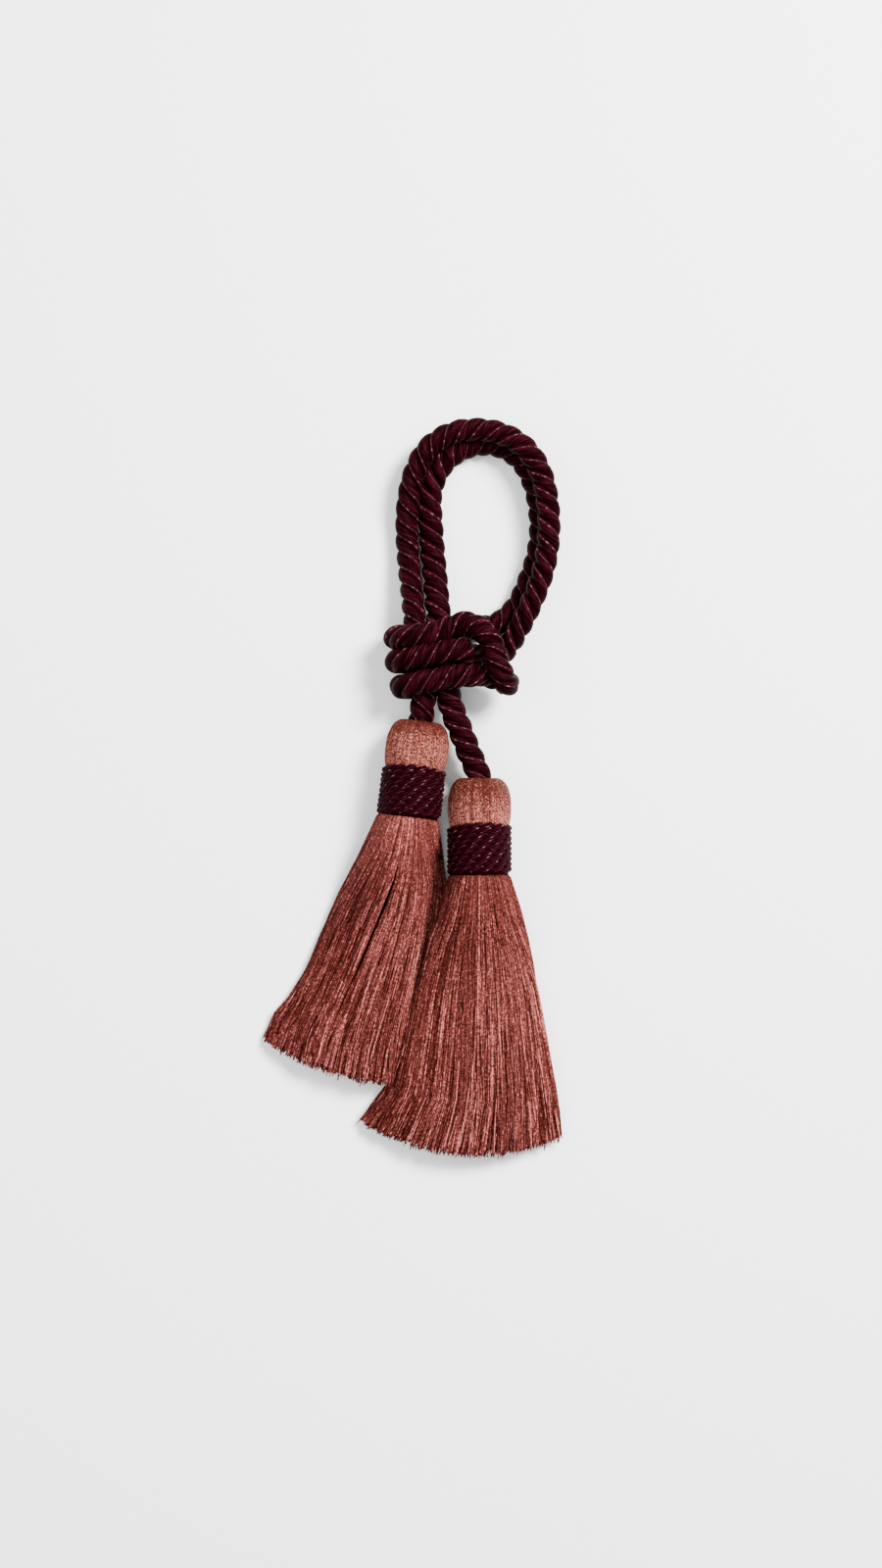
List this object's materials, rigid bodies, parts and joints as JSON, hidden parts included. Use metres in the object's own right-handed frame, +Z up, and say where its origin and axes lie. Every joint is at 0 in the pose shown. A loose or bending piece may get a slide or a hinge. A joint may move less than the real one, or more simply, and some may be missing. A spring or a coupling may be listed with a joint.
{
  "type": "double tassel",
  "caption": "Twisted cord knotted into a hanging loop, with a bound silk tassel on each end, lying flat as a curtain or key ornament.",
  "frame": {"origin": "on the surface it lies on, under the middle of the box around the two tassels, the free cord left out", "axes": "+Y from the skirts to the loop, +X to the right as seen from above, +Z up out of the surface"},
  "size_m": [0.0754, 0.1871, 0.0182],
  "materials": {
    "cord": "satin burgundy rope",
    "tassel_left": "satin rose thread",
    "tassel_right": "satin rose thread",
    "binding_left": "satin burgundy cord, wound",
    "binding_right": "satin burgundy cord, wound"
  },
  "bodies": {
    "root": {"cord": "cord", "tassel_left": "tassel_left", "tassel_right": "tassel_right", "binding_left": "binding_left", "binding_right": "binding_right"}
  },
  "joints": []
}
